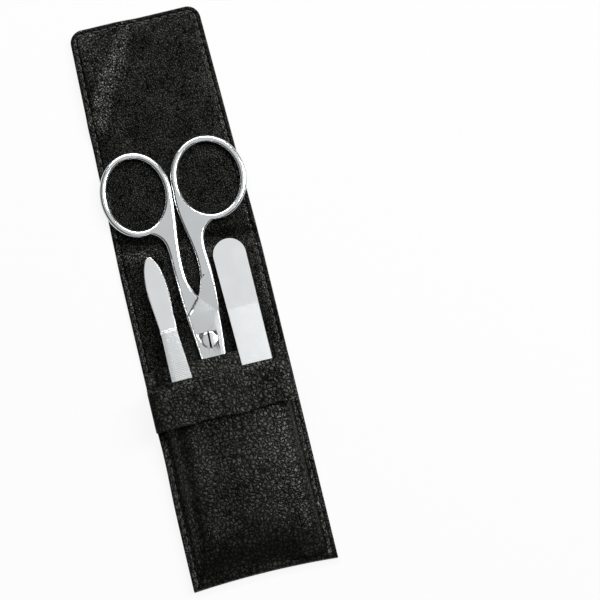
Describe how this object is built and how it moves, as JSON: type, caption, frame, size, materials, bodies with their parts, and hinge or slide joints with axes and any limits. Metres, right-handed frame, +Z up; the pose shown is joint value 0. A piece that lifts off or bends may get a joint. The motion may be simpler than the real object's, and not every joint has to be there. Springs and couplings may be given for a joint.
{
  "type": "manicure set case",
  "caption": "Slim black leather pocket case with a fold-over tuck flap and retaining strap, holding nail scissors, tweezers and a nail file.",
  "frame": {"origin": "middle of the back panel's underside, the face that the open case lies on", "axes": "+Y from the folded bottom towards the flap's end, +Z up through the thickness, +X to the right with the flap pointing away"},
  "size_m": [0.0512, 0.1982, 0.014],
  "materials": {
    "outer_leather": "black pebble-grained leather, semi-gloss",
    "lining": "black fine-grained lining leather, satin",
    "thread": "black twisted sewing thread",
    "tool_steel": "satin stainless steel",
    "screw_steel": "polished steel",
    "grit": "fine bonded grit on steel"
  },
  "bodies": {
    "pouch": {"back_leather": "outer_leather", "back_lining": "lining", "bottom_fold": "outer_leather", "divider": "lining", "front_lining": "lining", "front_leather": "outer_leather", "strap": "outer_leather", "seam_thread_left": "thread", "seam_thread_right": "thread"},
    "fold_strip_1": {"fold_leather_1": "outer_leather", "fold_lining_1": "lining"},
    "fold_strip_2": {"fold_leather_2": "outer_leather", "fold_lining_2": "lining"},
    "fold_strip_3": {"fold_leather_3": "outer_leather", "fold_lining_3": "lining"},
    "fold_strip_4": {"fold_leather_4": "outer_leather", "fold_lining_4": "lining"},
    "flap": {"flap_leather": "outer_leather", "flap_lining": "lining", "flap_thread": "thread"},
    "scissors_left": {"scissor_half_left": "tool_steel", "pivot_screw": "screw_steel"},
    "scissors_right": {"scissor_half_right": "tool_steel"},
    "tweezers": {"tweezer_arm_lower": "tool_steel"},
    "tweezer_jaw": {"tweezer_arm_upper": "tool_steel"},
    "nail_file": {"file_blade": "tool_steel", "file_grit_upper": "grit", "file_grit_lower": "grit"}
  },
  "joints": [
    {"name": "flap_close", "type": "hinge", "parent": "pouch", "child": "flap", "pos_m": [0, 0.06221, 0.0064], "axis": [-1, 0, 0], "range_deg": [-180, 0], "deforming": ["strap", "fold_leather_1", "fold_leather_2", "fold_leather_3", "fold_leather_4", "fold_lining_1", "fold_lining_2", "fold_lining_3", "fold_lining_4", "flap_leather", "flap_lining", "flap_thread"]},
    {"name": "fold_line_1", "type": "hinge", "parent": "pouch", "child": "fold_strip_1", "pos_m": [0, 0.056, 0.0014], "axis": [-1, 0, 0], "range_deg": [-45, 0]},
    {"name": "fold_line_2", "type": "hinge", "parent": "fold_strip_1", "child": "fold_strip_2", "pos_m": [0, 0.06014, 0.0014], "axis": [-1, 0, 0], "range_deg": [-45, 0]},
    {"name": "fold_line_3", "type": "hinge", "parent": "fold_strip_4", "child": "fold_strip_3", "pos_m": [0, 0.06428, 0.0014], "axis": [1, 0, 0], "range_deg": [-45, 0]},
    {"name": "fold_line_4", "type": "hinge", "parent": "flap", "child": "fold_strip_4", "pos_m": [0, 0.06843, 0.0014], "axis": [1, 0, 0], "range_deg": [-45, 0]},
    {"name": "scissors_stow", "type": "slide", "parent": "pouch", "child": "scissors_left", "axis": [0, 1, 0], "range_m": [-0.0398, 0]},
    {"name": "scissors_open", "type": "hinge", "parent": "scissors_left", "child": "scissors_right", "pos_m": [0, 0.0262, 0.0031], "axis": [0, 0, -1], "range_deg": [0, 40]},
    {"name": "tweezers_draw", "type": "slide", "parent": "pouch", "child": "tweezers", "axis": [-0.0384, 0.9993, 0], "range_m": [0, 0.045]},
    {"name": "tweezers_pinch", "type": "hinge", "parent": "tweezers", "child": "tweezer_jaw", "pos_m": [-0.01351, 0.05121, 0.00735], "axis": [0.9993, 0.0384, 0], "range_deg": [0, 0.9]},
    {"name": "file_draw", "type": "slide", "parent": "pouch", "child": "nail_file", "axis": [-0.014, 0.9999, 0], "range_m": [0, 0.045]}
  ],
  "couplings": [
    {"joint": "fold_line_1", "follows": "flap_close", "ratio": 0.25},
    {"joint": "fold_line_2", "follows": "flap_close", "ratio": 0.25},
    {"joint": "fold_line_3", "follows": "flap_close", "ratio": 0.25},
    {"joint": "fold_line_4", "follows": "flap_close", "ratio": 0.25},
    {"joint": "scissors_stow", "follows": "flap_close", "m_per_rad": 0.012637}
  ]
}
